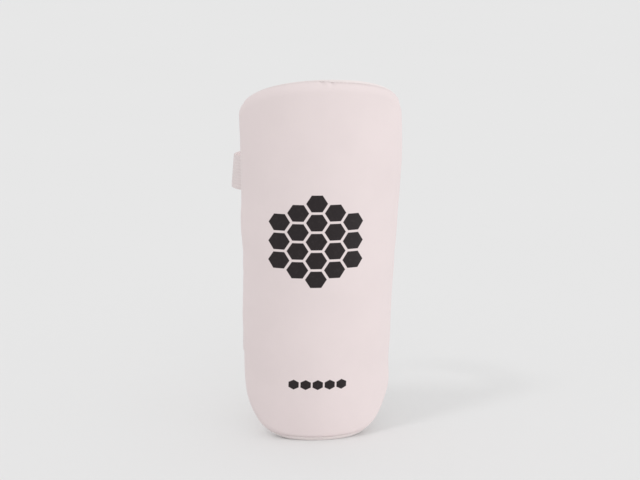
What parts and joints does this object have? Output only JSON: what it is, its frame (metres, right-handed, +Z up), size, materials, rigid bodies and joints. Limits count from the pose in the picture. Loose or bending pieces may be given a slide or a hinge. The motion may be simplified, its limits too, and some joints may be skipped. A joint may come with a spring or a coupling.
{
  "type": "elbow guard",
  "caption": "Curved padded guard for the elbow and forearm, with a thin back panel and elastic straps closed behind the arm.",
  "frame": {"origin": "on the surface that the guard stands on, under the middle of its box", "axes": "+Z up along the forearm, -Y out of the front of the pad, +X to the right seen from the front"},
  "size_m": [0.1237, 0.122, 0.27],
  "materials": {
    "cover": "smooth matt coated cloth over moulded foam, pale pinkish white",
    "panel_cloth": "soft brushed cotton, off white",
    "elastic": "ribbed woven elastic, off white",
    "hook_tape": "stiff hook tape, grey white"
  },
  "bodies": {
    "root": {"front_pad": "cover", "back_panel": "panel_cloth", "upper_strap": "elastic", "upper_strap_tail": "elastic", "upper_hook_patch": "hook_tape", "lower_strap": "elastic", "lower_strap_tail": "elastic", "lower_hook_patch": "hook_tape"}
  },
  "joints": []
}
